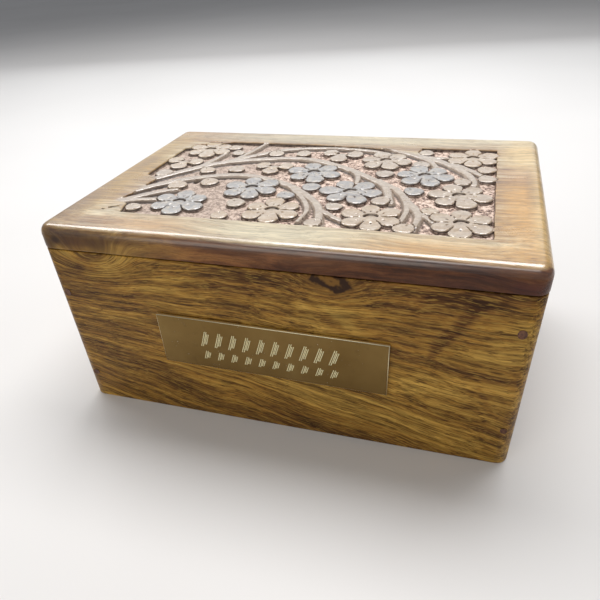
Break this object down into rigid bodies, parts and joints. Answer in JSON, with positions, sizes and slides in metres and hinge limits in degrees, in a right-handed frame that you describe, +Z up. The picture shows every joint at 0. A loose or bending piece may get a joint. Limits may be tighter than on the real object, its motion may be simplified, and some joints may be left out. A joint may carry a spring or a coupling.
{
  "type": "cremation urn box",
  "caption": "Rectangular wooden urn box with a lift-off lid slab carved in sunk relief with flowers, leaves and stems, and a brass name plate on its front.",
  "frame": {"origin": "centre of the bounding box at the underside, on the surface the box stands on", "axes": "+X along the length to the right, -Y towards the front with the name plate, +Z up"},
  "size_m": [0.1526, 0.1078, 0.07],
  "materials": {
    "body_wood": "satin lacquer over golden brown hardwood with dark streaks",
    "lid_wood": "satin lacquer, hand carved, paler and duller on the carving",
    "plate_brass": "satin brass with bright shallow strokes"
  },
  "bodies": {
    "root": {"lid": "lid_wood", "front_board": "body_wood", "back_board": "body_wood", "left_end_board": "body_wood", "right_end_board": "body_wood", "base_board": "body_wood", "name_plate": "plate_brass"}
  },
  "joints": []
}
